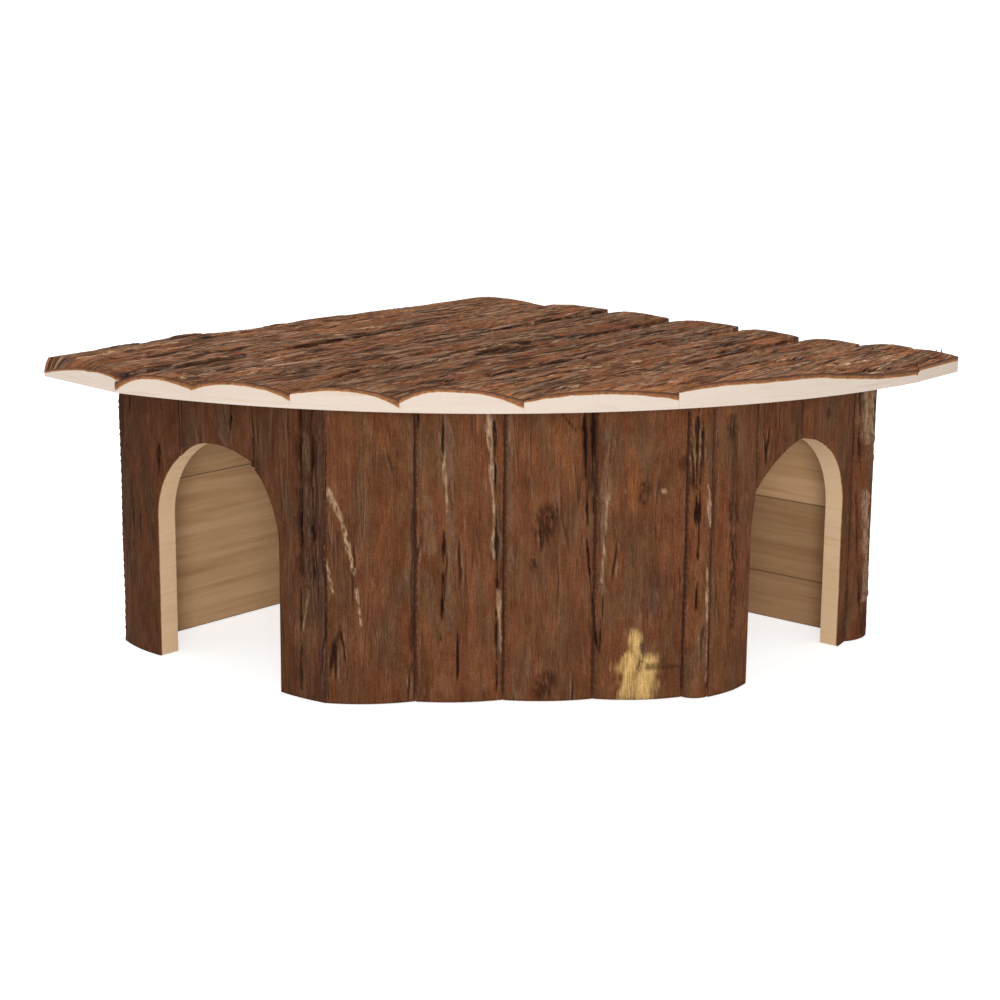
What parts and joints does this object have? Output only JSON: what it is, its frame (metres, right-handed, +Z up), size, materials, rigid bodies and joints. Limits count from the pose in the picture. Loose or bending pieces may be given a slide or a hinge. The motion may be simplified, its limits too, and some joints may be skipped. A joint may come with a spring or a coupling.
{
  "type": "rodent house",
  "caption": "Corner rodent house: quarter-round roof of bark-covered slabs, bark slab walls with arched doorways, and plain board walls along the cage corner.",
  "frame": {"origin": "at floor level, under the middle of the object's outer box", "axes": "+Z up; X and Y follow the back walls: -X towards the roof's left tip, -Y towards its right tip, +X and +Y into the cage corner; the front wall looks along -X and -Y alike"},
  "size_m": [0.3152, 0.3004, 0.144],
  "materials": {
    "bark": "rough bark, unfinished",
    "pale_wood": "sawn, unfinished",
    "brad_steel": "satin"
  },
  "bodies": {
    "root": {"roof_slab_1": "bark", "roof_slab_2": "bark", "roof_slab_3": "bark", "roof_slab_4": "bark", "roof_slab_5": "bark", "roof_slab_6": "bark", "roof_slab_7": "bark", "roof_tip": "bark", "left_door_slab_1": "bark", "left_door_slab_2": "bark", "left_door_slab_3": "bark", "front_slab_1": "bark", "front_slab_2": "bark", "front_slab_3": "bark", "front_slab_4": "bark", "front_slab_5": "bark", "right_door_slab_1": "bark", "right_door_slab_2": "bark", "right_door_slab_3": "bark", "right_door_slab_4": "bark", "left_back_board_lower": "pale_wood", "left_back_board_upper": "pale_wood", "right_back_board_lower": "pale_wood", "right_back_board_middle": "pale_wood", "right_back_board_upper": "pale_wood", "back_corner_post": "pale_wood", "left_back_batten": "pale_wood", "right_back_batten": "pale_wood", "left_door_batten": "pale_wood", "right_door_batten": "pale_wood", "front_top_batten": "pale_wood", "front_foot_batten": "pale_wood", "roof_brads": "brad_steel", "wall_brads": "brad_steel", "board_brads": "brad_steel"}
  },
  "joints": []
}
